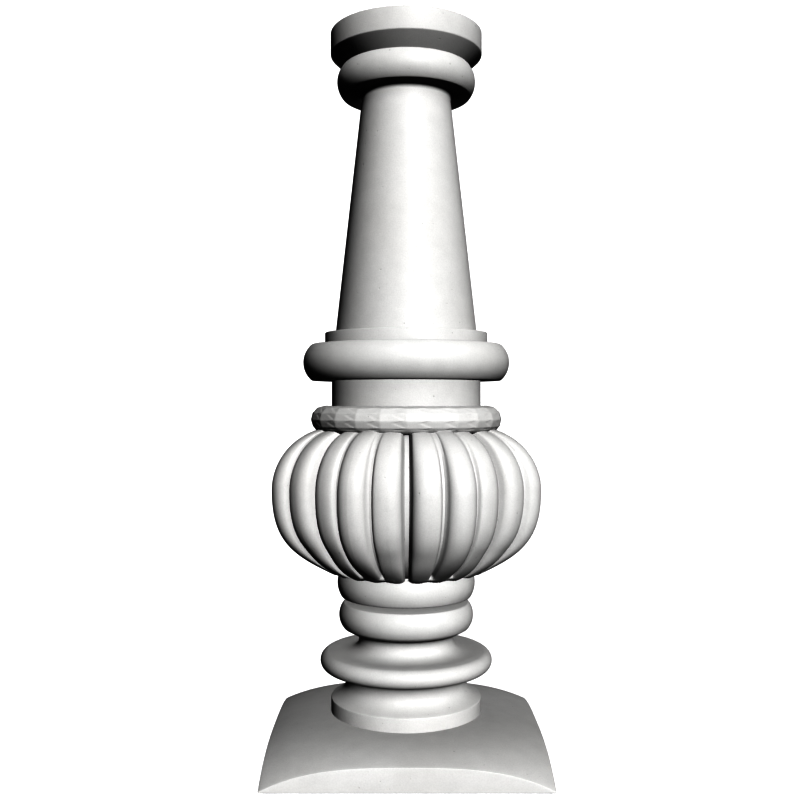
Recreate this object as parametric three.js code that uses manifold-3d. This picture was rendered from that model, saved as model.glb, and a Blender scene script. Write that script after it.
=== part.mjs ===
// A stone baluster, carved from one block: a square plinth with a pillowed top, a stack of turned
// mouldings, a bulb cut into upright lobes, a faceted cable ring round its top, a collar, a plain
// tapering shaft and a flat cap that carries the rail. Millimetres, +Z up, and the origin is on the
// ground under the axis. Every member is named with its own height and radius, from the ground up.

import * as THREE from 'three'
import { mergeVertices } from 'three/addons/utils/BufferGeometryUtils.js'
import Module from 'manifold-3d'

// Plinth: a square block whose top swells from low corners up to a crown under the turned work
const plinthSide = 250
const plinthEdgeHeight = 21.4 // a side face at its middle
const plinthCornerHeight = 1 // a side face at its ends
const domeRise = 11.9 // from the middle of a side's top edge up to the crown
const domeSquareness = 2.8 // 2 gives round contours, and more gives squarer ones
const plinthCells = 10

// Base ring, standing on the dome, and the hollow above it
const baseRingRadius = 72
const baseRingHeight = 11.7
const lowerHollowHeight = 27
const lowerHollowWaist = 58
const lowerHollowWaistHeight = 13.4
const lowerHollowFootRise = 5.9 // where the foot's first line would meet the waist, over the ring
const lowerHollowFlare = 12 // the radius of the round in which it opens out again under the disc

// Disc with a round edge, and the hollow above it
const discRadius = 82.2
const discHeight = 17
const discBelly = 7.3 // how far the round edge stands out of its two rims
const upperHollowHeight = 22.6
const upperHollowWaist = 45.3
const upperHollowWaistHeight = 10.8
const upperHollowFoot = 20 // how far the foot spreads out from the waist
const upperHollowFlare = 8

// Torus, the V-shaped recess over it, and the round moulding that meets the bulb
const torusRadius = 64.3
const torusHeight = 23.6
const torusBelly = 4.3
const quirkHeight = 5.8
const quirkRadius = 40 // to the bottom of the V
const quirkRise = 1.2 // how much its lower side rises on the way in
const ovoloRadius = 65.9
const ovoloHeight = 26.8
const ovoloBelly = 4.1

// Lobed bulb
const bulbRadius = 132.3 // over the proud lobes
const bulbLowerHeight = 80.8 // from the lip up to the widest place
const bulbShoulderHeight = 57 // the round shoulder above the widest place
const bulbShoulderWidth = 60
const bulbOverhang = 7.1 // how far the lip stands out over the moulding below
const bulbSink = 2.6 // how far that moulding reaches up into the bulb
const lipRun = 0.66 // how the crest leaves the lip, as a share of its way out to the widest place
const lipRise = 0.25 // and of its way up to it
const bellyStart = 0.41 // the share of that way up from which the crest runs into its upright belly
const lobeCount = 24
const deepGrooveEvery = 3 // the lobe in the middle between two deep grooves is the proud one
const deepGrooveDepth = 23 // grooves are sunk level in towards the axis, from the proud crest line
const plainGrooveDepth = 12
const sideLobeDrop = 7.6 // how far the lobes beside a deep groove stand back from that line
const sideLobeRun = 30 // the height above the lip over which they come to stand back
const lipDepthShare = 0.65 // the grooves' depth at the lip, as a share of their full depth
const lipDepthRun = 35 // the height over which they come to their full depth
const ringDepthShare = 0.5 // and their depth under the cable ring

// The flanks of a lobe: half the width of its groove at the floor and at the lobe's edge, and how
// far that edge and the side half-way on to the crest have dropped below the lobe's own crest
const deepFlank = { floor: 2.5, mouth: 4.9, edge: 10.7, side: 2.4 }
const plainFlank = { floor: 1.2, mouth: 2.3, edge: 2.8, side: 0 }
const proudFlank = { floor: 1.2, mouth: 3.4, edge: 9.6, side: 0.5 }

// Faceted cable ring, resting in the top of the bulb
const cableRadius = 78.5 // to the middle of the cable
const cableThickness = 25.5
const cableSink = 5.55
const cableRelief = 0.9
const cableSides = 8

// Neck, collar and the fillet under the shaft
const neckRadius = 71.4
const neckHeight = 24.3
const collarRadius = 98.6
const collarHeight = 34.5
const collarBelly = 8.1
const filletRadius = 77.85
const filletHeight = 11.2

// Tapering shaft
const shaftFootRadius = 67.7
const shaftHeadRadius = 42.7
const shaftHeight = 227
const shaftCove = 3.5

// Astragal and cap
const astragalRadius = 66
const astragalHeight = 27.2
const astragalBelly = 4.5
const capRadius = 72.5
const capBevelHeight = 12.3
const capHeight = 20.55

// How finely the round forms are cut into facets
const turnedSides = 40
const bellySteps = 5
const hollowFootSteps = 3
const hollowHeadSteps = 3
const columnsPerLobe = 6
const rowsBelowWidest = 7
const rowsAboveWidest = 5
const shoulderReach = 80 // degrees of the bulb's round shoulder, the last of them inside the cable

// Heights above the ground, each member standing on the one below
const crownZ = plinthEdgeHeight + domeRise
const baseRingTop = crownZ + baseRingHeight
const discBottom = baseRingTop + lowerHollowHeight
const discTop = discBottom + discHeight
const torusBottom = discTop + upperHollowHeight
const torusTop = torusBottom + torusHeight
const ovoloBottom = torusTop + quirkHeight
const ovoloTop = ovoloBottom + ovoloHeight
const bulbBottom = ovoloTop - bulbSink
const bulbWidest = bulbBottom + bulbLowerHeight
const bulbTop = bulbWidest + bulbShoulderHeight
const lipRadius = ovoloRadius + bulbOverhang
const cableZ = bulbTop - cableSink + cableThickness / 2
const collarBottom = cableZ + cableThickness / 2 + neckHeight
const collarTop = collarBottom + collarHeight
const shaftBottom = collarTop + filletHeight
const shaftTop = shaftBottom + shaftHeight
const astragalTop = shaftTop + astragalHeight
const capEdge = astragalTop + capBevelHeight
const capTop = capEdge + capHeight

const wasm = await Module()
wasm.setup()

function solid (geometry) {
  geometry.deleteAttribute('normal')
  geometry.deleteAttribute('uv')
  const merged = mergeVertices(geometry, 1e-4)
  return new wasm.Manifold(new wasm.Mesh({
    numProp: 3,
    vertProperties: new Float32Array(merged.attributes.position.array),
    triVerts: new Uint32Array(merged.index.array)
  }))
}

function geometryOf (body) {
  const mesh = body.getMesh()
  const geometry = new THREE.BufferGeometry()
  geometry.setAttribute('position', new THREE.BufferAttribute(mesh.vertProperties, 3))
  geometry.setIndex(new THREE.BufferAttribute(mesh.triVerts, 1))
  geometry.computeVertexNormals()
  return geometry
}

// Points of a circular arc from one point of the outline to another, both left out. The arc stands
// out of the straight line between them by bow.
function arcBetween (r0, z0, r1, z1, bow, steps) {
  const half = Math.hypot(r1 - r0, z1 - z0) / 2
  const radius = (bow * bow + half * half) / (2 * bow)
  const reach = 2 * Math.atan2(bow, half)
  const outR = (z1 - z0) / (2 * half)
  const outZ = -(r1 - r0) / (2 * half)
  const points = []
  for (let i = 1; i < steps; i++) {
    const angle = reach * (2 * i / steps - 1)
    const along = 0.5 + Math.sin(angle) * radius / (2 * half)
    const out = radius * Math.cos(angle) - (radius - bow)
    points.push(new THREE.Vector2(
      r0 + (r1 - r0) * along + outR * out,
      z0 + (z1 - z0) * along + outZ * out
    ))
  }
  return points
}

// Points of a quarter of a circle that leaves a place of the outline upright and ends level, farther
// out and higher by its radius. Only its start is left out.
function quarterRound (startR, startZ, radius) {
  const points = []
  for (let i = 1; i <= hollowHeadSteps; i++) {
    const angle = Math.PI / 2 * i / hollowHeadSteps
    points.push(new THREE.Vector2(startR + radius * (1 - Math.cos(angle)), startZ + radius * Math.sin(angle)))
  }
  return points
}

// A hollow: a curved foot that comes up to an upright waist, and a round that opens out over it
function hollow (footR, footZ, footRise, waistR, waistZ, flare) {
  const foot = new THREE.QuadraticBezierCurve(
    new THREE.Vector2(footR, footZ),
    new THREE.Vector2(waistR, footZ + footRise),
    new THREE.Vector2(waistR, waistZ)
  )
  return [...foot.getPoints(hollowFootSteps), ...quarterRound(waistR, waistZ, flare)]
}

// A round edge between two rims of one radius
function bellied (radius, belly, z0, z1) {
  const rim = radius - belly
  return [
    new THREE.Vector2(rim, z0),
    ...arcBetween(rim, z0, rim, z1, belly, bellySteps),
    new THREE.Vector2(rim, z1)
  ]
}

// Everything that is turned about the axis, from inside the plinth up to the flat top of the cap
function turnedWork () {
  const inPlinth = plinthEdgeHeight / 2
  const outline = [
    new THREE.Vector2(0, inPlinth),
    new THREE.Vector2(baseRingRadius, inPlinth),
    ...hollow(
      baseRingRadius, baseRingTop, lowerHollowFootRise,
      lowerHollowWaist, baseRingTop + lowerHollowWaistHeight, lowerHollowFlare
    ),
    ...bellied(discRadius, discBelly, discBottom, discTop),
    ...hollow(
      upperHollowWaist + upperHollowFoot, discTop, 0,
      upperHollowWaist, discTop + upperHollowWaistHeight, upperHollowFlare
    ),
    ...bellied(torusRadius, torusBelly, torusBottom, torusTop),
    new THREE.Vector2(quirkRadius, torusTop + quirkRise),
    ...bellied(ovoloRadius, ovoloBelly, ovoloBottom, ovoloTop),
    new THREE.Vector2(neckRadius, bulbWidest),
    new THREE.Vector2(neckRadius, collarBottom),
    ...bellied(collarRadius, collarBelly, collarBottom, collarTop),
    new THREE.Vector2(filletRadius, collarTop),
    new THREE.Vector2(filletRadius, shaftBottom),
    new THREE.Vector2(shaftFootRadius, shaftBottom),
    new THREE.Vector2(shaftHeadRadius, shaftTop - shaftCove),
    ...quarterRound(shaftHeadRadius, shaftTop - shaftCove, shaftCove),
    ...bellied(astragalRadius, astragalBelly, shaftTop, astragalTop),
    new THREE.Vector2(capRadius, capEdge),
    new THREE.Vector2(capRadius, capTop),
    new THREE.Vector2(0, capTop)
  ]
  return new THREE.LatheGeometry(outline, turnedSides).rotateX(Math.PI / 2)
}

// The height of the pillowed top over a place on the plinth
function domeHeight (x, y) {
  const fall = Math.log2((crownZ - plinthCornerHeight) / domeRise)
  const across = Math.abs(x / (plinthSide / 2)) ** domeSquareness
  const along = Math.abs(y / (plinthSide / 2)) ** domeSquareness
  return crownZ - domeRise * (across + along) ** fall
}

function plinth () {
  const block = new THREE.BoxGeometry(2, 2, 2, plinthCells, plinthCells, 1)
  const place = block.attributes.position
  for (let i = 0; i < place.count; i++) {
    const x = Math.sin(place.getX(i) * Math.PI / 2) * plinthSide / 2
    const y = Math.sin(place.getY(i) * Math.PI / 2) * plinthSide / 2
    place.setXYZ(i, x, y, place.getZ(i) > 0 ? domeHeight(x, y) : 0)
  }
  return block
}

// A skin of columns round the axis and rows up them. Its ends close on the axis, or on each other.
function skin (columns, rows, place, endless, bottomZ, topZ) {
  const positions = []
  for (let row = 0; row < rows; row++) {
    for (let column = 0; column < columns; column++) {
      const { radius, angle, z } = place(column, row)
      positions.push(radius * Math.cos(angle), radius * Math.sin(angle), z)
    }
  }
  const at = (column, row) => (row % rows) * columns + column % columns
  const faces = []
  for (let row = 0; row < (endless ? rows : rows - 1); row++) {
    for (let column = 0; column < columns; column++) {
      const corners = [at(column, row), at(column + 1, row), at(column + 1, row + 1), at(column, row + 1)]
      faces.push(corners[0], corners[1], corners[2], corners[0], corners[2], corners[3])
    }
  }
  if (!endless) {
    const foot = positions.length / 3
    positions.push(0, 0, bottomZ, 0, 0, topZ)
    for (let column = 0; column < columns; column++) {
      faces.push(foot, at(column + 1, 0), at(column, 0))
      faces.push(foot + 1, at(column, rows - 1), at(column + 1, rows - 1))
    }
  }
  const geometry = new THREE.BufferGeometry()
  geometry.setAttribute('position', new THREE.Float32BufferAttribute(positions, 3))
  geometry.setIndex(faces)
  return geometry
}

// The line that a proud lobe's crest follows, from the lip up to where the cable ring covers it
function crestLine () {
  const width = bulbRadius - lipRadius
  const lower = new THREE.CubicBezierCurve(
    new THREE.Vector2(lipRadius, bulbBottom),
    new THREE.Vector2(lipRadius + lipRun * width, bulbBottom + lipRise * bulbLowerHeight),
    new THREE.Vector2(bulbRadius, bulbBottom + bellyStart * bulbLowerHeight),
    new THREE.Vector2(bulbRadius, bulbWidest)
  )
  const crest = lower.getPoints(rowsBelowWidest)
  for (let i = 1; i <= rowsAboveWidest; i++) {
    const angle = THREE.MathUtils.degToRad(shoulderReach) * i / rowsAboveWidest
    crest.push(new THREE.Vector2(
      bulbRadius - bulbShoulderWidth * (1 - Math.cos(angle)),
      bulbWidest + bulbShoulderHeight * Math.sin(angle)
    ))
  }
  return crest
}

// How much of its full depth the carving has at a height
function depthShare (z) {
  const { lerp, smoothstep } = THREE.MathUtils
  const aboveWidest = Math.max(0, (z - bulbWidest) / bulbShoulderHeight)
  return lerp(lipDepthShare, 1, smoothstep(z, bulbBottom, bulbBottom + lipDepthRun)) *
    lerp(1, ringDepthShare, aboveWidest ** 2)
}

// The bulb, whose columns follow the floors, the edges and the sides of its grooves. Only the deep
// grooves cut through the lip. Everything else runs out on the plain round rim above it.
function lobedBulb () {
  const crest = crestLine()
  const pitch = 2 * Math.PI / lobeCount
  const isDeep = groove => groove % deepGrooveEvery === 0
  const place = (column, row) => {
    const { x: radius, y: z } = crest[row]
    const lobe = Math.floor(column / columnsPerLobe)
    const step = column % columnsPerLobe
    const nearHalf = step < columnsPerLobe / 2
    const groove = nearHalf ? lobe : lobe + 1
    const line = nearHalf ? step : columnsPerLobe - 1 - step
    const proud = !isDeep(lobe) && !isDeep(lobe + 1)
    const flank = isDeep(groove) ? deepFlank : proud ? proudFlank : plainFlank
    const depth = isDeep(groove) ? deepGrooveDepth : plainGrooveDepth
    const drop = proud ? 0 : sideLobeDrop * THREE.MathUtils.smoothstep(z, bulbBottom, bulbBottom + sideLobeRun)
    const mouth = flank.mouth / radius
    const offset = [flank.floor / radius, mouth, (mouth + pitch / 2) / 2][line]
    const sunk = depthShare(z) * [depth, drop + flank.edge, drop + flank.side][line]
    const cutsLip = isDeep(groove) && line < 2
    return {
      radius: radius - (cutsLip ? sunk : Math.min(sunk, radius - lipRadius)),
      angle: groove * pitch + (nearHalf ? offset : -offset) - Math.PI / 2,
      z
    }
  }
  const top = crest[crest.length - 1].y
  return skin(lobeCount * columnsPerLobe, crest.length, place, false, bulbBottom, top)
}

// The cable ring: low slanting facets, whose high and low corners take turns along and round it
function cableRing () {
  const pitch = 2 * Math.PI / lobeCount
  const place = (column, row) => {
    const turn = 2 * Math.PI * row / cableSides
    const section = cableThickness / 2 - ((column + row) % 2 === 0 ? 0 : cableRelief)
    return {
      radius: cableRadius + section * Math.cos(turn),
      angle: column * pitch / 2 - Math.PI / 2,
      z: cableZ + section * Math.sin(turn)
    }
  }
  return skin(lobeCount * 2, cableSides, place, true)
}

const baluster = solid(turnedWork())
  .add(solid(plinth()))
  .add(solid(lobedBulb()))
  .add(solid(cableRing()))

const stone = new THREE.MeshStandardMaterial({ color: 0xdedcd6, roughness: 0.82, metalness: 0 })

const mesh = new THREE.Mesh(geometryOf(baluster), stone)
mesh.name = 'baluster'

const part = new THREE.Group()
part.add(mesh)

export default part
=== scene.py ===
# %% [markdown]
# # A carved stone baluster
# One block of pale limestone, cut on a lathe and then carved by hand. It carries a stone handrail
# together with many others like it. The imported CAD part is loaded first, as a fixed frame. Its box
# is the size that everything made here has to keep to, so it is measured straight away.

# %% Load the frame
import math

import bmesh
import bpy
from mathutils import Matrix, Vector


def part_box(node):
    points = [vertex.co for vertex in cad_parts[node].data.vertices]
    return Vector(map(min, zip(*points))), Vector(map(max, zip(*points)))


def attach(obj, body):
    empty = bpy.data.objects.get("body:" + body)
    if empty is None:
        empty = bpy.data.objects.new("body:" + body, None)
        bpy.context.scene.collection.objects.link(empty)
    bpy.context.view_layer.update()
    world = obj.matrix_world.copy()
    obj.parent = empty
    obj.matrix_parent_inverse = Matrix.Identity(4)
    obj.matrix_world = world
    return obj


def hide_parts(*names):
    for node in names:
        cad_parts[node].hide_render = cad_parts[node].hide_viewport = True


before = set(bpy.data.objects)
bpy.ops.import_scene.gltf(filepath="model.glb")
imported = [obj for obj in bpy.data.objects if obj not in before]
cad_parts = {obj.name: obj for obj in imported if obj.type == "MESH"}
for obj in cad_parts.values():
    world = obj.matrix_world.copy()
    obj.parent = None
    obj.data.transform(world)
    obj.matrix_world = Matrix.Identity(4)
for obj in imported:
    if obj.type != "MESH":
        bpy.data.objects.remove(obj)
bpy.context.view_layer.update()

low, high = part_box("baluster")
print("CAD baluster, mm:", [round(v * 1000, 1) for v in high - low])

# %% [markdown]
# ## The outline, from the ground up
# A baluster is designed as a stack of mouldings, each with a name, a height and a radius. The stack
# could be drawn as one long list of points, but then nobody could tell which number is which. Here
# each member has its own names, in millimetres, and every height stands on the one below it, as
# the mason sets them out on a template.

# %% Sizes of the plinth and of the turned members below the bulb
half_plinth = 125.0
plinth_edge_height = 21.4
plinth_corner_height = 1.0
dome_rise = 11.9
dome_squareness = 2.8

base_ring_radius = 72.0
base_ring_height = 11.7
lower_hollow_height = 27.0
lower_hollow_waist = 58.0
lower_hollow_waist_height = 13.4
lower_hollow_foot_rise = 5.9
lower_hollow_flare = 12.0

disc_radius = 82.2
disc_height = 17.0
disc_belly = 7.3
upper_hollow_height = 22.6
upper_hollow_waist = 45.3
upper_hollow_waist_height = 10.8
upper_hollow_foot = 20.0
upper_hollow_flare = 8.0

torus_radius = 64.3
torus_height = 23.6
torus_belly = 4.3
quirk_height = 5.8
quirk_radius = 40.0
quirk_rise = 1.2
ovolo_radius = 65.9
ovolo_height = 26.8
ovolo_belly = 4.1

crown_z = plinth_edge_height + dome_rise
base_ring_top = crown_z + base_ring_height
disc_bottom = base_ring_top + lower_hollow_height
disc_top = disc_bottom + disc_height
torus_bottom = disc_top + upper_hollow_height
torus_top = torus_bottom + torus_height
ovolo_bottom = torus_top + quirk_height
ovolo_top = ovolo_bottom + ovolo_height
print("round moulding under the bulb ends at", round(ovolo_top, 1))

# %% Sizes of the bulb, its cable ring and everything above
bulb_radius = 132.3
bulb_lower_height = 80.8
bulb_shoulder_height = 57.0
bulb_shoulder_width = 60.0
bulb_overhang = 7.1
bulb_sink = 2.6
lip_run = 0.66
lip_rise = 0.25
belly_start = 0.41
cable_radius = 78.5
cable_thickness = 25.5
cable_sink = 5.55

neck_radius = 71.4
neck_height = 24.3
collar_radius = 98.6
collar_height = 34.5
collar_belly = 8.1
fillet_radius = 77.85
fillet_height = 11.2
shaft_foot_radius = 67.7
shaft_head_radius = 42.7
shaft_height = 227.0
shaft_cove = 3.5
astragal_radius = 66.2
astragal_height = 27.2
astragal_belly = 5.2
cap_radius = 72.5
cap_foot_radius = 59.5
cap_bevel_height = 12.3
cap_height = 20.55

bulb_bottom = ovolo_top - bulb_sink
bulb_widest = bulb_bottom + bulb_lower_height
bulb_top = bulb_widest + bulb_shoulder_height
cable_z = bulb_top - cable_sink + cable_thickness / 2
collar_bottom = cable_z + cable_thickness / 2 + neck_height
collar_top = collar_bottom + collar_height
shaft_bottom = collar_top + fillet_height
shaft_top = shaft_bottom + shaft_height
astragal_top = shaft_top + astragal_height
cap_edge = astragal_top + cap_bevel_height
cap_top = cap_edge + cap_height
print("top of the cap at", round(cap_top, 1), "and the CAD's at", round(high.z * 1000, 1))

# %% [markdown]
# ## Curves of the outline
# Rounded edges are arcs of circles, because a mason draws them with compasses. A hollow is more
# lively: its foot sweeps up to an upright waist, and a tight quarter circle opens it out again
# under the next member. No edge of real stone is perfectly sharp, either. The mason rubs it down
# to a radius of under a millimetre, and that narrow round is what catches the light, so each outer
# corner gets four close points.

# %% Arcs and eased corners
def arc(start, end, bow, steps):
    """Points of an arc between two outline points, both left out, that stands out by bow."""
    along_r, along_z = end[0] - start[0], end[1] - start[1]
    half = math.hypot(along_r, along_z) / 2
    radius = (bow * bow + half * half) / (2 * bow)
    reach = 2 * math.atan2(bow, half)
    out_r, out_z = along_z / (2 * half), -along_r / (2 * half)
    points = []
    for step in range(1, steps):
        angle = reach * (2 * step / steps - 1)
        share = 0.5 + math.sin(angle) * radius / (2 * half)
        out = radius * math.cos(angle) - (radius - bow)
        points.append((start[0] + along_r * share + out_r * out,
                       start[1] + along_z * share + out_z * out))
    return points


def quarter_round(start, radius, steps):
    """A quarter of a circle that leaves its start upright and ends level. The start is left out."""
    points = []
    for step in range(1, steps + 1):
        angle = math.radians(90) * step / steps
        points.append((start[0] + radius * (1 - math.cos(angle)), start[1] + radius * math.sin(angle)))
    return points


def hollow(foot, foot_rise, waist, flare, steps):
    """A curved foot that comes up to an upright waist, and a round that opens out over it."""
    points = []
    for step in range(steps + 1):
        t = step / steps
        weights = ((1 - t) ** 2, 2 * t * (1 - t), t * t)
        bends = (foot, (waist[0], foot[1] + foot_rise), waist)
        points.append(tuple(sum(w * bend[axis] for w, bend in zip(weights, bends)) for axis in (0, 1)))
    return points + quarter_round(waist, flare, steps)


def bellied(radius, belly, bottom, top, steps):
    """A round edge between two rims of one radius."""
    foot, head = (radius - belly, bottom), (radius - belly, top)
    return [foot, *arc(foot, head, belly, steps), head]


ease_reach = 0.8
ease_share = 0.45
least_turn = math.radians(25)


def eased(outline):
    """The outline with its outer corners rubbed round, over at most a share of each side."""
    points = [outline[0]]
    for before, corner, after in zip(outline, outline[1:], outline[2:]):
        back = Vector(before) - Vector(corner)
        on = Vector(after) - Vector(corner)
        turn = math.atan2(-back.x * on.y + back.y * on.x, -back.dot(on))
        if turn < least_turn:
            points.append(corner)
            continue
        start = Vector(corner) + back.normalized() * min(ease_reach, back.length * ease_share)
        end = Vector(corner) + on.normalized() * min(ease_reach, on.length * ease_share)
        for share in (0, 0.33, 0.67, 1):
            near = start.lerp(Vector(corner), share)
            far = Vector(corner).lerp(end, share)
            points.append(tuple(near.lerp(far, share)))
    return points + [outline[-1]]


print("a hollow in 2 steps:", hollow((20, 0), 0, (10, 10), 6, 2))

# %% Outline of the members below the bulb
round_steps = 14
hollow_steps = 7
closest = 0.3
ovolo = bellied(ovolo_radius, ovolo_belly, ovolo_bottom, ovolo_top, round_steps)
ovolo_below_bulb = [point for point in ovolo if point[1] < bulb_bottom - closest]
ovolo_half = ovolo_height / 2
ovolo_arc = (ovolo_belly ** 2 + ovolo_half ** 2) / (2 * ovolo_belly)


def ovolo_at(z):
    """The radius of the round moulding at a height."""
    middle = ovolo_bottom + ovolo_half
    return ovolo_radius - ovolo_arc + math.sqrt(ovolo_arc ** 2 - (z - middle) ** 2)


lower_waist = (lower_hollow_waist, base_ring_top + lower_hollow_waist_height)
upper_waist = (upper_hollow_waist, disc_top + upper_hollow_waist_height)
upper_foot = (upper_hollow_waist + upper_hollow_foot, disc_top)
below_bulb = eased([
    (base_ring_radius, crown_z),
    *hollow((base_ring_radius, base_ring_top), lower_hollow_foot_rise, lower_waist,
            lower_hollow_flare, hollow_steps),
    *bellied(disc_radius, disc_belly, disc_bottom, disc_top, round_steps),
    *hollow(upper_foot, 0, upper_waist, upper_hollow_flare, hollow_steps),
    *bellied(torus_radius, torus_belly, torus_bottom, torus_top, round_steps),
    (quirk_radius, torus_top + quirk_rise),
    *ovolo_below_bulb,
    (ovolo_at(bulb_bottom), bulb_bottom),
])
print(len(below_bulb), "outline points below the bulb")

# %% Outline of the members above the cable ring
shaft_head = (shaft_head_radius, shaft_top - shaft_cove)
shaft_rows = 22
collar_steps = 18
cove_steps = 5
cap_gap = 0.1
cap_rows = (0.6, 0.25)
shaft_side = []
for step in range(shaft_rows):
    share = step / shaft_rows
    shaft_side.append((shaft_foot_radius + (shaft_head_radius - shaft_foot_radius) * share,
                       shaft_bottom + (shaft_height - shaft_cove) * share))
neck_angle = math.acos((neck_radius - cable_radius) / (cable_thickness / 2))
neck_foot = cable_z + cable_thickness / 2 * math.sin(neck_angle)
above_cable = eased([
    (neck_radius, neck_foot),
    (neck_radius, (neck_foot + collar_bottom) / 2),
    (neck_radius, collar_bottom),
    *bellied(collar_radius, collar_belly, collar_bottom, collar_top, collar_steps),
    (fillet_radius, collar_top),
    (fillet_radius, shaft_bottom),
    *shaft_side,
    shaft_head,
    *quarter_round(shaft_head, shaft_cove, cove_steps),
    *bellied(astragal_radius, astragal_belly, shaft_top, astragal_top, round_steps),
    (cap_foot_radius, astragal_top + cap_gap),
    (cap_radius, cap_edge),
    (cap_radius, cap_top),
    *[(cap_radius * share, cap_top) for share in cap_rows],
])
print(len(above_cable), "outline points above the cable ring")

# %% [markdown]
# ## One skin of rows
# The baluster is one block, so its surface is one closed skin. It could be many turned solids
# pushed into each other, but then each meeting line would be a hard cut that no light flows over.
# Here the skin is a list of rows, from the middle of the underside to the middle of the cap. Plain
# turned work needs few columns. The carved bulb and the cable ring need three times as many.

# %% The rows' columns
plain_columns = 160
lobe_count = 24
columns_per_lobe = 20
carved_columns = lobe_count * columns_per_lobe
front = -math.pi / 2
rows = []


def add_row(points, carve=0.0, room=0.0, cable=0.0):
    """One row of the skin, with how much of each carving it takes."""
    rows.append((points, carve, room, cable))


def turned_row(radius, z, columns):
    circle = []
    for column in range(columns):
        angle = front + 2 * math.pi * column / columns
        circle.append((radius * math.cos(angle), radius * math.sin(angle), z))
    return circle


print(carved_columns, "carved columns and", plain_columns, "plain ones")

# %% [markdown]
# ## The plinth
# The square plinth swells from thin corners up to a crown under the turned work, like a cushion.
# It could be a subdivided cube, but a formula says exactly how high each place is. Its rows start
# as a square outline and turn into a circle where the base ring stands, so no seam is needed.

# %% Height of the dome, and the square outline
dome_fall = math.log2((crown_z - plinth_corner_height) / dome_rise)


def dome_height(x, y):
    across = abs(x / half_plinth) ** dome_squareness
    along = abs(y / half_plinth) ** dome_squareness
    return crown_z - dome_rise * (across + along) ** dome_fall


corner_round = 0.7
corner_steps = 3
eighth = plain_columns // 8
straight_steps = eighth - corner_steps
half_side = []
for step in range(eighth + 1):
    if step <= straight_steps:
        half_side.append((half_plinth, (half_plinth - corner_round) * step / straight_steps))
    else:
        angle = math.radians(45) * (step - straight_steps) / corner_steps
        half_side.append((half_plinth - corner_round * (1 - math.cos(angle)),
                          half_plinth - corner_round * (1 - math.sin(angle))))
square = []
for column in range(plain_columns):
    turn = round(column / (2 * eighth))
    step = column - turn * 2 * eighth
    out, along = half_side[abs(step)]
    along = math.copysign(along, step)
    angle = front + turn * math.pi / 2
    square.append((out * math.cos(angle) - along * math.sin(angle),
                   out * math.sin(angle) + along * math.cos(angle)))
print("height of a corner:", round(dome_height(*square[eighth]), 2))

# %% Rows of the plinth, from the middle of the underside up to the foot of the base ring
def shrunk(inset):
    share = 1 - inset / half_plinth
    return [(x * share, y * share) for x, y in square]


underside_insets = (105, 80, 50, 20, 4)
arris = 0.7
arris_share = 0.25
arris_steps = ((1, 0), (0.35, 0.1), (0.08, 0.4), (0, 1))


def arris_at(x, y):
    """How far the arris reaches up or down a side face. It is least at the thin corners."""
    return min(arris, dome_height(x, y) * arris_share)


for inset in underside_insets:
    add_row([(x, y, 0.0) for x, y in shrunk(inset)])
for inset, rise in arris_steps:
    add_row([(x, y, rise * arris_at(x, y)) for x, y in shrunk(inset * arris)])
add_row([(x, y, dome_height(x, y) / 2) for x, y in square])
for inset, drop in reversed(arris_steps[1:]):
    add_row([(x, y, dome_height(x, y) - drop * arris_at(x, y)) for x, y in shrunk(inset * arris)])
dome_rows = 16
base_circle = turned_row(base_ring_radius, 0, plain_columns)
for step in range(dome_rows + 1):
    share = step / dome_rows
    dome = []
    for (x, y), (circle_x, circle_y, _) in zip(shrunk(arris), base_circle):
        x += (circle_x - x) * share
        y += (circle_y - y) * share
        dome.append((x, y, dome_height(x, y)))
    add_row(dome)
print(len(rows), "rows in the plinth")

# %% Rows of the members below the bulb
for radius, z in below_bulb[1:]:
    add_row(turned_row(radius, z, plain_columns))
print(len(rows), "rows up to the bulb's underside")

# %% [markdown]
# ## The bulb's blank
# Before it is carved, the bulb is a plain round form too. What it needs is columns in the right
# places: close together along the floors, walls and rounded shoulders of the grooves to come, and
# wide apart over the lobes. A groove has a width in millimetres, which narrows a little towards
# the lip, so the columns' angles change from row to row. Each row also stores how deep it may be
# cut, so that no groove breaks through into what lies behind it.

# %% Sizes of the lobes' flanks
deep_every = 3
deep_depth = 23.0
plain_depth = 12.0
side_drop = 8.1
side_lean = 0.13
flanks = {
    "Deep": {"Floor": 2.5, "Mouth": 4.9, "Edge": 8.6, "Reach": 16.0},
    "Plain": {"Floor": 1.2, "Mouth": 2.3, "Edge": 4.3, "Reach": 17.2},
    "Proud": {"Floor": 1.2, "Mouth": 3.4, "Edge": 9.6, "Reach": 17.3},
}
lobe_pitch = 2 * math.pi / lobe_count
reach_share = 0.985
arc_steps = 6
lip_width_share = 0.7


def narrowing(z):
    """The grooves' width at a height, as a share of their width at the bulb's widest place."""
    up = (z - bulb_bottom) / bulb_lower_height
    return lip_width_share + (1 - lip_width_share) * min(1.0, max(0.0, up))


def stations(flank, half_lobe, narrow):
    """Distances from a groove's middle where a column helps, out to where the lobe's round ends."""
    floor, mouth = flank["Floor"] * narrow, flank["Mouth"] * narrow
    reach = min(flank["Reach"], half_lobe * reach_share)
    found = [0.0, floor, (floor + mouth) / 2, mouth]
    for step in range(1, arc_steps + 1):
        angle = math.radians(90) * step / arc_steps
        found.append(mouth + (reach - mouth) * (1 - math.cos(angle)))
    return found


print("columns beside a deep groove at", [round(v, 1) for v in stations(flanks["Deep"], 17.2, 1)])

# %% Angles of the carved columns at one radius
lobe_kinds = (("Deep", "Plain"), ("Proud", "Proud"), ("Plain", "Deep"))


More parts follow.
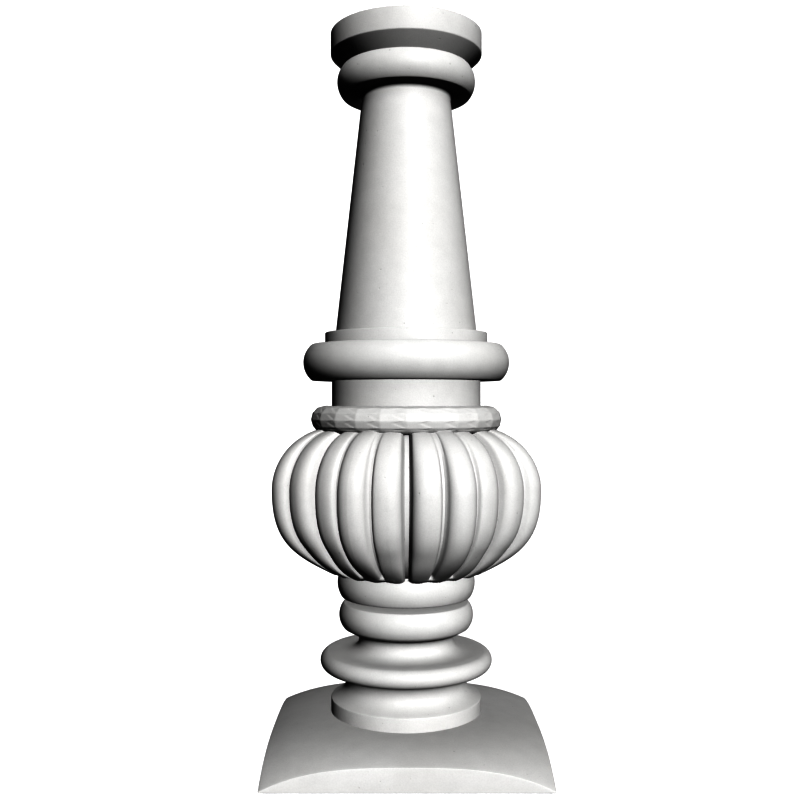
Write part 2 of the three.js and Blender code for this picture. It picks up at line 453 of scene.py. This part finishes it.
def carved_angles(radius, z):
    angles = []
    arc_length = lobe_pitch * radius
    for lobe in range(lobe_count):
        kinds = lobe_kinds[lobe % deep_every]
        left, right = (stations(flanks[kind], arc_length / 2, narrowing(z)) for kind in kinds)
        places = left + [arc_length / 2] + [arc_length - place for place in reversed(right[1:])]
        angles += [front + lobe_pitch * lobe + place / radius for place in places]
    return angles


even_angles = [front + 2 * math.pi * column / carved_columns for column in range(carved_columns)]


def carved_row(radius, z, follow=1.0):
    """A round row whose columns follow the grooves, or are even where follow is 0."""
    circle = []
    for grooved, even in zip(carved_angles(radius, z), even_angles):
        angle = even + (grooved - even) * follow
        circle.append((radius * math.cos(angle), radius * math.sin(angle), z))
    return circle


print(len(even_angles), "columns in a carved row")

# %% The crest line of a proud lobe
lip = ovolo_radius + bulb_overhang
crest_width = bulb_radius - lip
crest_curve = ((lip, bulb_bottom),
               (lip + lip_run * crest_width, bulb_bottom + lip_rise * bulb_lower_height),
               (bulb_radius, bulb_bottom + belly_start * bulb_lower_height),
               (bulb_radius, bulb_widest))


def crest_at(t):
    weights = ((1 - t) ** 3, 3 * t * (1 - t) ** 2, 3 * t * t * (1 - t), t ** 3)
    return tuple(sum(w * point[axis] for w, point in zip(weights, crest_curve)) for axis in (0, 1))


def cable_at(z):
    """The radius of the cable ring's lower face at a height."""
    half = cable_thickness / 2
    return cable_radius + math.sqrt(max(0.0, half * half - (z - cable_z) ** 2))


def shoulder_at(angle):
    return (bulb_radius - bulb_shoulder_width * (1 - math.cos(angle)),
            bulb_widest + bulb_shoulder_height * math.sin(angle))


lower_steps = 35
crowding = 1.15
crest = [crest_at((step / lower_steps) ** crowding) for step in range(lower_steps + 1)]
shoulder_steps = 24
coarse_reach = math.radians(60)
fine_step = math.radians(0.9)
for step in range(1, shoulder_steps + 1):
    crest.append(shoulder_at(coarse_reach * step / shoulder_steps))
angle = coarse_reach + fine_step
while shoulder_at(angle)[0] > cable_at(shoulder_at(angle)[1]):
    crest.append(shoulder_at(angle))
    angle += fine_step
print(len(crest), "points on the crest, which meets the cable ring at", [round(v, 1) for v in crest[-1]])

# %% Rows of the bulb
inner = ovolo_at(bulb_bottom)
least_flat = 0.25
underside_start = inner + 0.05
underside_end = lip - 0.6
underside_steps = 4
for step in range(underside_steps):
    share = step / underside_steps
    radius = underside_start + (underside_end - underside_start) * share
    add_row(carved_row(radius, bulb_bottom, share), carve=share, room=lip - inner - least_flat)
lip_corner = 0.1
for radius, z in ((underside_end, bulb_bottom), (lip - lip_corner, bulb_bottom + lip_corner)):
    add_row(carved_row(radius, z), carve=1, room=radius - inner - least_flat)
for radius, z in crest[1:]:
    carried = ovolo_at(z) if z < ovolo_top else 0.0
    covered = cable_at(z) if z > cable_z - cable_thickness / 2 else 0.0
    add_row(carved_row(radius, z), carve=1, room=radius - max(carried + least_flat, covered))
print(len(rows), "rows up to the cable ring")

# %% [markdown]
# ## The cable ring's blank
# A thick round ring lies in the top of the bulb. It could be a ready-made torus pushed into the
# bulb, but then the baluster would no longer be one closed skin. Instead its rows go round its
# section, from where the lobes' crests meet it, over its outer side, to where it meets the neck.
# Its columns start where the grooves' columns end and even out within a few rows. Its first and
# last rows are carved less, so that it still meets its neighbours.

# %% Rows of the cable ring
cable_rows = 52
even_out_rows = 6
ease_in_rows = 2
meeting = math.atan2(crest[-1][1] - cable_z, crest[-1][0] - cable_radius)
for step in range(1, cable_rows + 1):
    angle = meeting + (neck_angle - meeting) * step / cable_rows
    radius = cable_radius + cable_thickness / 2 * math.cos(angle)
    z = cable_z + cable_thickness / 2 * math.sin(angle)
    follow = max(0.0, 1 - step / even_out_rows)
    near_end = min(step, cable_rows - step)
    add_row(carved_row(radius, z, follow), cable=min(1.0, near_end / ease_in_rows))
for radius, z in above_cable[1:]:
    add_row(turned_row(radius, z, plain_columns))
print(len(rows), "rows in all")

# %% [markdown]
# ## From rows to a mesh
# Neighbouring rows with equal counts are joined by four-sided faces. Where a row of 480 meets one
# of 160, each long edge takes three short ones in a small fan. The two ends close on a single
# point each, so the skin is watertight. The numbers stored for each row become point attributes,
# which is how the script hands them on to the carving.

# %% Join the rows
mm = 0.001
vertices = []
starts = []
for points, *_ in rows:
    starts.append(len(vertices))
    vertices += [(x * mm, y * mm, z * mm) for x, y, z in points]
foot_pole = len(vertices)
vertices += [(0, 0, 0), (0, 0, cap_top * mm)]
faces = []
for number in range(len(rows) - 1):
    lower, upper = len(rows[number][0]), len(rows[number + 1][0])
    a, b = starts[number], starts[number + 1]
    columns = min(lower, upper)
    for column in range(columns):
        on = (column + 1) % columns
        if lower == upper:
            faces.append((a + column, a + on, b + on, b + column))
        elif lower < upper:
            fine = [b + (3 * column + step) % upper for step in range(4)]
            faces.append((a + column, fine[1], fine[0]))
            faces.append((a + column, a + on, fine[2], fine[1]))
            faces.append((a + on, fine[3], fine[2]))
        else:
            fine = [a + (3 * column + step) % lower for step in range(4)]
            faces.append((fine[0], fine[1], b + column))
            faces.append((fine[1], fine[2], b + on, b + column))
            faces.append((fine[2], fine[3], b + on))
for column in range(plain_columns):
    on = (column + 1) % plain_columns
    faces.append((foot_pole, starts[0] + on, starts[0] + column))
    faces.append((foot_pole + 1, starts[-1] + column, starts[-1] + on))
blank_mesh = bpy.data.meshes.new("stone_blank")
blank_mesh.from_pydata(vertices, [], faces)
for index, name in ((1, "carve"), (2, "room"), (3, "cable")):
    values = []
    for row in rows:
        scale = mm if name == "room" else 1
        values += [row[index] * scale] * len(row[0])
    attribute = blank_mesh.attributes.new(name, "FLOAT", "POINT")
    attribute.data.foreach_set("value", values + [0.0, 0.0])
blank = bpy.data.objects.new("stone_blank", blank_mesh)
bpy.context.scene.collection.objects.link(blank)
print(len(vertices), "points and", len(faces), "faces in the blank")

# %% [markdown]
# ## The stone
# Pale, fine-grained limestone, rubbed smooth. It could be one flat grey, but real stone is never
# even. It has broad clouds of a slightly warmer tone, a finer mottle that is also a little more or
# less smooth, a fine grain and small open pits. The pits are dented by the bump, and their darker
# colour is painted shade inside them. All of it comes from noise on the object's own coordinates,
# in metres, so the grain keeps its real size and goes through the block as it does in a quarried
# stone.

# %% Helpers for node trees
def calc(tree, operation, *values):
    """A Math node on numbers or sockets. Returns its result."""
    node = tree.nodes.new("ShaderNodeMath")
    node.operation = operation
    for socket, value in zip(node.inputs, values):
        if isinstance(value, (int, float)):
            socket.default_value = value
        else:
            tree.links.new(value, socket)
    return node.outputs[0]


def mapped(tree, value, start, end, low, high, smooth=False):
    """A Map Range node, clamped at both ends."""
    node = tree.nodes.new("ShaderNodeMapRange")
    if smooth:
        node.interpolation_type = "SMOOTHSTEP"
    for socket, number in zip(node.inputs, (value, start, end, low, high)):
        if isinstance(number, (int, float)):
            socket.default_value = number
        else:
            tree.links.new(number, socket)
    return node.outputs[0]


print("helpers: calc, mapped")

# %% Limestone
stone = bpy.data.materials.new("rubbed_limestone")
stone.use_nodes = True
tree = stone.node_tree
shader = tree.nodes["Principled BSDF"]
place = tree.nodes.new("ShaderNodeTexCoord").outputs["Object"]


def noise(scale, detail, roughness):
    node = tree.nodes.new("ShaderNodeTexNoise")
    tree.links.new(place, node.inputs["Vector"])
    node.inputs["Scale"].default_value = scale
    node.inputs["Detail"].default_value = detail
    node.inputs["Roughness"].default_value = roughness
    return node.outputs["Fac"]


clouds = mapped(tree, noise(7, 3, 0.55), 0.35, 0.65, 0, 1)
mottle = mapped(tree, noise(70, 4, 0.6), 0.3, 0.7, 0, 1)
grain = noise(900, 2, 0.7)

cells = tree.nodes.new("ShaderNodeTexVoronoi")
tree.links.new(place, cells.inputs["Vector"])
cells.inputs["Scale"].default_value = 260
cell_size = mapped(tree, noise(190, 1, 0.5), 0.6, 0.76, 0, 0.3)
# The pit mask dents the surface through the bump, and it darkens the colour in the pits as painted shade.
pit_dents_and_painted_shade = mapped(tree, calc(tree, "SUBTRACT", cell_size, cells.outputs["Distance"]), 0, 0.12, 0, 1)

ramp = tree.nodes.new("ShaderNodeMix")
ramp.data_type = "RGBA"
tree.links.new(clouds, ramp.inputs[0])
ramp.inputs[6].default_value = (0.79, 0.788, 0.782, 1)
ramp.inputs[7].default_value = (0.765, 0.761, 0.752, 1)
grain_shade = mapped(tree, grain, 0.3, 0.7, 0.97, 1.03)
mottle_shade = mapped(tree, mottle, 0, 1, 0.975, 1.02)
speckle = calc(tree, "MULTIPLY", grain_shade, mottle_shade)
tinted = tree.nodes.new("ShaderNodeVectorMath")
tinted.operation = "SCALE"
tree.links.new(ramp.outputs[2], tinted.inputs[0])
# The darker colour in the pits is painted shade inside them.
shade = calc(tree, "MULTIPLY", speckle, mapped(tree, pit_dents_and_painted_shade, 0, 1, 1, 0.86))
tree.links.new(shade, tinted.inputs["Scale"])
tree.links.new(tinted.outputs[0], shader.inputs["Base Color"])

tree.links.new(mapped(tree, mottle, 0, 1, 0.5, 0.6), shader.inputs["Roughness"])
shader.inputs["Specular IOR Level"].default_value = 0.32
grain_height = 0.00012
pit_depth = 0.0004
height = calc(tree, "SUBTRACT", calc(tree, "MULTIPLY", grain, grain_height),
              calc(tree, "MULTIPLY", pit_dents_and_painted_shade, pit_depth))
bump = tree.nodes.new("ShaderNodeBump")
bump.inputs["Strength"].default_value = 0.6
bump.inputs["Distance"].default_value = 1.0
tree.links.new(height, bump.inputs["Height"])
tree.links.new(bump.outputs["Normal"], shader.inputs["Normal"])
print(len(tree.nodes), "nodes in the limestone")

# %% [markdown]
# ## Carving the lobes
# The grooves stand evenly round the bulb, and every third one is deep. The lobe half-way between
# two deep grooves is proud. Its neighbours stand back a little and fall away towards the deep
# grooves. Each groove could be cut by a tool shape of its own, but all of this is one rule, so
# Geometry Nodes carve it. The tree finds each point's nearest groove from its angle, works out how
# far it is from the groove's middle, and sinks it straight in towards the axis by the groove's
# section: a flat floor, a steep wall and a rounded shoulder.

# %% Start of a node tree
def new_tree(name, sizes):
    """A geometry tree with its named inputs. Returns the tree and its input sockets by name."""
    made = bpy.data.node_groups.new(name, "GeometryNodeTree")
    made.interface.new_socket("Geometry", in_out="INPUT", socket_type="NodeSocketGeometry")
    for label, value in sizes.items():
        kind = "NodeSocketInt" if isinstance(value, int) else "NodeSocketFloat"
        made.interface.new_socket(label, in_out="INPUT", socket_type=kind).default_value = value
    made.interface.new_socket("Material", in_out="INPUT", socket_type="NodeSocketMaterial")
    made.interface.new_socket("Geometry", in_out="OUTPUT", socket_type="NodeSocketGeometry")
    inputs = made.nodes.new("NodeGroupInput").outputs
    return made, {socket.name: socket for socket in inputs if socket.name}


def end_tree(made, offset, geometry, material):
    """Moves the points, then ends with Realize Instances and Set Material."""
    move = made.nodes.new("GeometryNodeSetPosition")
    realize = made.nodes.new("GeometryNodeRealizeInstances")
    finish = made.nodes.new("GeometryNodeSetMaterial")
    out = made.nodes.new("NodeGroupOutput")
    made.links.new(geometry, move.inputs["Geometry"])
    made.links.new(offset, move.inputs["Offset"])
    made.links.new(move.outputs[0], realize.inputs[0])
    made.links.new(realize.outputs[0], finish.inputs["Geometry"])
    made.links.new(material, finish.inputs["Material"])
    made.links.new(finish.outputs[0], out.inputs[0])


def attribute_of(made, name):
    node = made.nodes.new("GeometryNodeInputNamedAttribute")
    node.data_type = "FLOAT"
    node.inputs["Name"].default_value = name
    return node.outputs["Attribute"]


def around(made):
    """A point's angle round the axis, its radius, its height, and its x and y."""
    position = made.nodes.new("GeometryNodeInputPosition")
    parts = made.nodes.new("ShaderNodeSeparateXYZ")
    made.links.new(position.outputs[0], parts.inputs[0])
    x, y, z = parts.outputs
    squares = calc(made, "ADD", calc(made, "MULTIPLY", x, x), calc(made, "MULTIPLY", y, y))
    return calc(made, "ARCTAN2", y, x), calc(made, "SQRT", squares), z, x, y


def towards_axis(made, x, y, radius, depth, lift):
    """An offset that sinks a point level towards the axis and lifts it."""
    share = calc(made, "MULTIPLY", calc(made, "DIVIDE", depth, calc(made, "MAXIMUM", radius, 0.001)), -1.0)
    joined = made.nodes.new("ShaderNodeCombineXYZ")
    made.links.new(calc(made, "MULTIPLY", x, share), joined.inputs[0])
    made.links.new(calc(made, "MULTIPLY", y, share), joined.inputs[1])
    made.links.new(lift, joined.inputs[2])
    return joined.outputs[0]


print("tree helpers ready")

# %% The lobe tree: which groove and which lobe a point belongs to
lobe_sizes = {
    "Lobe Count": lobe_count, "Deep Every": deep_every,
    "Deep Depth": deep_depth * mm, "Plain Depth": plain_depth * mm,
    "Side Drop": side_drop * mm, "Side Lean": side_lean,
    "Lip Height": bulb_bottom * mm, "Lip Depth Share": 0.65, "Lip Edge Share": 0.3, "Lip Run": 0.035,
    "Lip Width Share": lip_width_share, "Rim Radius": 0.0805, "Lip Dip": 0.001,
    "Widest Height": bulb_widest * mm, "Ring Run": bulb_shoulder_height * mm, "Ring Share": 0.5,
    "Side Run Share": 0.85, "Dip Run Share": 0.12, "Dip Width Share": 0.9,
}
for kind, flank in flanks.items():
    for part, size in flank.items():
        lobe_sizes[kind + " " + part] = size * mm
lobes, get = new_tree("carved_lobes", lobe_sizes)
angle, radius, z, x, y = around(lobes)
pitch = calc(lobes, "DIVIDE", 2 * math.pi, get["Lobe Count"])
turn = calc(lobes, "DIVIDE", angle, pitch)
number = calc(lobes, "ROUND", turn)
arc_pitch = calc(lobes, "MULTIPLY", pitch, radius)
half = calc(lobes, "MULTIPLY", arc_pitch, 0.5)
aside = calc(lobes, "MULTIPLY", calc(lobes, "ABSOLUTE", calc(lobes, "SUBTRACT", turn, number)), arc_pitch)
is_deep = calc(lobes, "COMPARE", calc(lobes, "FLOORED_MODULO", number, get["Deep Every"]), 0.0, 0.5)
is_proud = calc(lobes, "COMPARE", calc(lobes, "FLOORED_MODULO", calc(lobes, "FLOOR", turn),
                                       get["Deep Every"]), 1.0, 0.5)
print(len(lobes.nodes), "nodes find the groove and the lobe")


# %% The lobe tree: the section
def of_flank(part):
    """A size of the flank that the point is on."""
    other = mapped(lobes, is_proud, 0.0, 1.0, get["Plain " + part], get["Proud " + part])
    return mapped(lobes, is_deep, 0.0, 1.0, other, get["Deep " + part])


narrow = mapped(lobes, z, get["Lip Height"], get["Widest Height"], get["Lip Width Share"], 1.0)
floor, mouth = (calc(lobes, "MULTIPLY", of_flank(part), narrow) for part in ("Floor", "Mouth"))
edge, reach = of_flank("Edge"), of_flank("Reach")
depth = mapped(lobes, is_deep, 0.0, 1.0, get["Plain Depth"], get["Deep Depth"])
reach = calc(lobes, "MINIMUM", reach, calc(lobes, "MULTIPLY", half, reach_share))
into_round = mapped(lobes, aside, mouth, reach, 1.0, 0.0)
level = calc(lobes, "SQRT", calc(lobes, "SUBTRACT", 1.0, calc(lobes, "MULTIPLY", into_round, into_round)))
round_drop = calc(lobes, "MULTIPLY", edge, calc(lobes, "SUBTRACT", 1.0, level))

above_lip = calc(lobes, "DIVIDE", calc(lobes, "SUBTRACT", z, get["Lip Height"]), get["Lip Run"])
lip_share = mapped(lobes, above_lip, 0.0, 1.0, get["Lip Depth Share"], 1.0, smooth=True)
edge_share = mapped(lobes, above_lip, 0.0, 1.0, get["Lip Edge Share"], 1.0, smooth=True)
round_drop = calc(lobes, "MULTIPLY", round_drop, edge_share)
stand_back = mapped(lobes, above_lip, 0.0, get["Side Run Share"], 0.0, 1.0, smooth=True)
up = calc(lobes, "DIVIDE", calc(lobes, "SUBTRACT", z, get["Widest Height"]), get["Ring Run"])
up = calc(lobes, "MINIMUM", calc(lobes, "MAXIMUM", up, 0.0), 1.0)
ring_share = mapped(lobes, calc(lobes, "MULTIPLY", up, up), 0.0, 1.0, 1.0, get["Ring Share"])

sign = mapped(lobes, is_deep, 0.0, 1.0, 1.0, -1.0)
lean = calc(lobes, "MULTIPLY", sign, get["Side Lean"])
lean = calc(lobes, "MULTIPLY", lean, calc(lobes, "SUBTRACT", aside, half))
lower = calc(lobes, "MULTIPLY", calc(lobes, "ADD", get["Side Drop"], lean), stand_back)
lower = calc(lobes, "MULTIPLY", lower, calc(lobes, "SUBTRACT", 1.0, is_proud))
beside = calc(lobes, "MULTIPLY", calc(lobes, "ADD", round_drop, lower), ring_share)
bottom = calc(lobes, "MULTIPLY", depth, lip_share)
bottom = calc(lobes, "MULTIPLY", bottom, mapped(lobes, is_deep, 0.0, 1.0, ring_share, 1.0))
into_groove = mapped(lobes, aside, mouth, floor, 0.0, 1.0)
below_lobe = calc(lobes, "SUBTRACT", bottom, beside)
section = calc(lobes, "ADD", beside, calc(lobes, "MULTIPLY", into_groove, below_lobe))
print(len(lobes.nodes), "nodes make the section")

# %% The lobe tree: where the carving stops
over_rim = calc(lobes, "MAXIMUM", calc(lobes, "SUBTRACT", radius, get["Rim Radius"]), 0.0)
free = calc(lobes, "MAXIMUM", over_rim, is_deep)
cut = calc(lobes, "MINIMUM", section, calc(lobes, "MINIMUM", free, attribute_of(lobes, "room")))
cut = calc(lobes, "MULTIPLY", cut, attribute_of(lobes, "carve"))
aside_share = calc(lobes, "DIVIDE", aside, half)
near_groove = mapped(lobes, aside_share, 0.0, get["Dip Width Share"], 1.0, 0.0, smooth=True)
at_lip = mapped(lobes, above_lip, 0.0, get["Dip Run Share"], 1.0, 0.0)
lift = calc(lobes, "MULTIPLY", get["Lip Dip"], calc(lobes, "MULTIPLY", near_groove, at_lip))
lift = calc(lobes, "MULTIPLY", lift, attribute_of(lobes, "carve"))
end_tree(lobes, towards_axis(lobes, x, y, radius, cut, lift), get["Geometry"], get["Material"])
print(len(lobes.nodes), "nodes carve the lobes")

# %% [markdown]
# ## Cutting the cable ring
# The ring is cut like a rope of stone: flat faces, one to a lobe, round a twelve-sided section, and
# over them low scales whose zigzag ends overlap the next ones. Each scale could be a little block
# of its own, but the ring is one stone, so the same kind of tree moves its points. A chord is
# flatter than its circle, so each face lies deepest at its middle, and the corners stand out.

# %% The cable tree: flat faces
cable_sizes = {
    "Sector Count": lobe_count, "Section Sides": 12, "Ring Radius": cable_radius * mm,
    "Ring Height": cable_z * mm, "Section Radius": cable_thickness / 2 * mm,
    "Section Corner Radius": 0.0132, "Corner Swell": 0.0003,
    "Relief": 0.0004, "Zigzag": 0.45, "Zigzag Step": 0.55, "Zigzag Shift": 0.4, "Zigzag Start": 0.88,
    "Zigzag Skew": 0.65, "End Width": 0.08,
}
whole_turns = 100.0
facets, get = new_tree("cable_scales", cable_sizes)
angle, radius, z, x, y = around(facets)
pitch = calc(facets, "DIVIDE", 2 * math.pi, get["Sector Count"])
turn = calc(facets, "ADD", calc(facets, "DIVIDE", angle, pitch), whole_turns)
share = calc(facets, "FRACT", turn)


def chord_sink(tree, share, pitch, radius):
    """How far a chord lies inside its circle, where share runs from 0 to 1 along the chord."""
    off_middle = calc(tree, "MULTIPLY", calc(tree, "SUBTRACT", share, 0.5), pitch)
    flat = calc(tree, "DIVIDE", calc(tree, "COSINE", calc(tree, "MULTIPLY", pitch, 0.5)),
                calc(tree, "COSINE", off_middle))
    return calc(tree, "MULTIPLY", radius, calc(tree, "SUBTRACT", 1.0, flat))


rise = calc(facets, "ARCTAN2", calc(facets, "SUBTRACT", z, get["Ring Height"]),
            calc(facets, "SUBTRACT", radius, get["Ring Radius"]))
side_pitch = calc(facets, "DIVIDE", 2 * math.pi, get["Section Sides"])
side_turn = calc(facets, "ADD", calc(facets, "DIVIDE", rise, side_pitch), whole_turns)
side_share = calc(facets, "FRACT", side_turn)
face_sink = chord_sink(facets, side_share, side_pitch, get["Section Corner Radius"])
corner_rise = calc(facets, "SUBTRACT", get["Section Corner Radius"], get["Section Radius"])
face_sink = calc(facets, "SUBTRACT", face_sink, corner_rise)
print(len(facets.nodes), "nodes flatten the ring")

# %% The cable tree: overlapping scales
shifted = calc(facets, "SUBTRACT", get["Zigzag Shift"], rise)
shifted = calc(facets, "ADD", calc(facets, "DIVIDE", shifted, get["Zigzag Step"]), whole_turns)
down = calc(facets, "FRACT", shifted)
left_over = calc(facets, "SUBTRACT", 1.0, down)
zigzag = calc(facets, "MINIMUM", calc(facets, "DIVIDE", down, get["Zigzag Skew"]),
              calc(facets, "DIVIDE", left_over, calc(facets, "SUBTRACT", 1.0, get["Zigzag Skew"])))
back = calc(facets, "MULTIPLY", get["Zigzag"], calc(facets, "SUBTRACT", zigzag, 1.0))
end = calc(facets, "ADD", get["Zigzag Start"], back)
past_end = calc(facets, "FRACT", calc(facets, "SUBTRACT", turn, end))
raised = calc(facets, "MAXIMUM", mapped(facets, past_end, 0.0, get["End Width"], 1.0, 0.0), past_end)
scale_sink = calc(facets, "MULTIPLY", get["Relief"], calc(facets, "SUBTRACT", 1.0, raised))
sink = calc(facets, "ADD", face_sink, scale_sink)
side_sink = calc(facets, "SUBTRACT", chord_sink(facets, share, pitch, radius), get["Corner Swell"])
level_sink = calc(facets, "ADD", side_sink, calc(facets, "MULTIPLY", sink, calc(facets, "COSINE", rise)))
weight = attribute_of(facets, "cable")
cut = calc(facets, "MULTIPLY", level_sink, weight)
lift = calc(facets, "MULTIPLY", calc(facets, "MULTIPLY", sink, calc(facets, "SINE", rise)),
            calc(facets, "MULTIPLY", weight, -1.0))
end_tree(facets, towards_axis(facets, x, y, radius, cut, lift), get["Geometry"], get["Material"])
print(len(facets.nodes), "nodes cut the cable ring")

# %% Carve the blank
for tree_made, sizes in ((lobes, lobe_sizes), (facets, cable_sizes)):
    carver = blank.modifiers.new(tree_made.name, "NODES")
    carver.node_group = tree_made
    for socket in tree_made.interface.items_tree:
        if socket.in_out == "INPUT" and socket.name in sizes:
            carver[socket.identifier] = sizes[socket.name]
        elif socket.name == "Material":
            carver[socket.identifier] = stone
depsgraph = bpy.context.evaluated_depsgraph_get()
carved_mesh = bpy.data.meshes.new_from_object(blank.evaluated_get(depsgraph))
bpy.data.objects.remove(blank)
baluster = bpy.data.objects.new("stone_baluster", carved_mesh)
bpy.context.scene.collection.objects.link(baluster)
print(len(carved_mesh.vertices), "points in the carved baluster")

# %% [markdown]
# ## Shading
# Rounds have to look round and arrises crisp. Every face is shaded smooth, and an edge is marked
# sharp only where its two faces meet at a clear angle. The eased corners stay under that angle,
# so they read as narrow rounds.

# %% Smooth faces, sharp meeting lines
for name in ("carve", "room", "cable"):
    carved_mesh.attributes.remove(carved_mesh.attributes[name])
carved_mesh.shade_smooth()
sharp_angle = math.radians(38)
carved_mesh.set_sharp_from_angle(angle=sharp_angle)
check = bmesh.new()
check.from_mesh(carved_mesh)
open_edges = sum(1 for edge in check.edges if not edge.is_manifold)
print("volume, litres:", round(check.calc_volume() * 1000, 3), "open edges:", open_edges,
      "triangles:", sum(len(face.verts) - 2 for face in check.faces))
check.free()

# %% Hand the piece to the frame
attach(baluster, "root")
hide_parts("baluster")

# %% [markdown]
# ## Floor and light
# The photograph shows the baluster on white, lit by one strong light from the right of the camera
# and a little above it, with hardly any fill and no cast shadows. So the key light is a sun, which
# gives the top and the foot the same light, and it casts no shadow and isn't bounced on. A weak
# wide sun from the same place adds a hint of soft shadow. A third one lights the far side. It is
# level, and kept out of highlights, because a low back light glares on every edge that it grazes.
# The pale floor and the world are bright where the camera sees them and dim as lights. Otherwise
# their glow would fill every hollow and wash the modelling out.

# %% Helper for what only the camera sees bright
def seen(tree, dim, bright):
    """One number as light on other things, and another where the camera looks straight at it."""
    ray = tree.nodes.new("ShaderNodeLightPath").outputs["Is Camera Ray"]
    return mapped(tree, ray, 0.0, 1.0, dim, bright)


# %% Floor
floor_half = 40.0
floor_mesh = bpy.data.meshes.new("pale_floor")
floor_mesh.from_pydata([(-floor_half, -floor_half, 0), (floor_half, -floor_half, 0),
                        (floor_half, floor_half, 0), (-floor_half, floor_half, 0)], [], [(0, 1, 2, 3)])
floor = bpy.data.objects.new("pale_floor", floor_mesh)
bpy.context.scene.collection.objects.link(floor)
paper = bpy.data.materials.new("pale_paper")
paper.use_nodes = True
tree = paper.node_tree
shader = tree.nodes["Principled BSDF"]
tone = tree.nodes.new("ShaderNodeCombineColor")
for socket in tone.inputs:
    tree.links.new(seen(tree, 0.1, 0.6), socket)
tree.links.new(tone.outputs[0], shader.inputs["Base Color"])
tree.links.new(seen(tree, 0.0, 0.92), shader.inputs["Emission Strength"])
shader.inputs["Emission Color"].default_value = (1, 1, 1, 1)
shader.inputs["Roughness"].default_value = 0.95
shader.inputs["Specular IOR Level"].default_value = 0.0
floor_mesh.materials.append(paper)

# %% World
world = bpy.data.worlds.new("studio")
bpy.context.scene.world = world
world.use_nodes = True
background = world.node_tree.nodes["Background"]
background.inputs["Color"].default_value = (1, 1, 1, 1)
world.node_tree.links.new(seen(world.node_tree, 0.02, 1.3), background.inputs["Strength"])

# %% Suns
def sun(name, azimuth, elevation, disc, strength):
    """A sun. Azimuth 0 is the camera's side and 90 is the right. Disc is its width in degrees."""
    data = bpy.data.lights.new(name, "SUN")
    data.angle = math.radians(disc)
    data.energy = strength
    made = bpy.data.objects.new(name, data)
    made.rotation_euler = (math.radians(90 - elevation), 0, math.radians(azimuth))
    bpy.context.scene.collection.objects.link(made)
    return made


back_light = sun("back_light", 180, 0, 4, 2.8)
back_light.visible_glossy = False
key_light = sun("key_light", 17, 25, 8, 3.9)
for light in (key_light, back_light):
    light.data.use_shadow = False
    light.data.cycles.max_bounces = 0
sun("soft_key_light", 17, 25, 40, 0.35)

# %% [markdown]
# ## Camera
# The photograph was taken level, from less than a metre away, with the horizon at the middle of
# the picture. A camera could be turned by eye until the picture looks right, but its place was
# worked out from the plinth's perspective, so most of the outline agrees to about a pixel. The
# gamma undoes the display's own curve. That darkens the sides that turn away from the light, as
# they are in the photograph.

# %% Camera
camera_data = bpy.data.cameras.new("photo_camera")
camera_data.sensor_width = 36
camera_data.lens = 43.456
eye_x, eye_y, eye_height = -0.00595, -0.9311, 0.3287
camera = bpy.data.objects.new("photo_camera", camera_data)
camera.location = (eye_x, eye_y, eye_height)
camera.rotation_euler = (math.radians(90), 0, 0)
bpy.context.scene.collection.objects.link(camera)
bpy.context.scene.camera = camera
bpy.context.scene.view_settings.view_transform = "Standard"
bpy.context.scene.view_settings.gamma = 0.4545
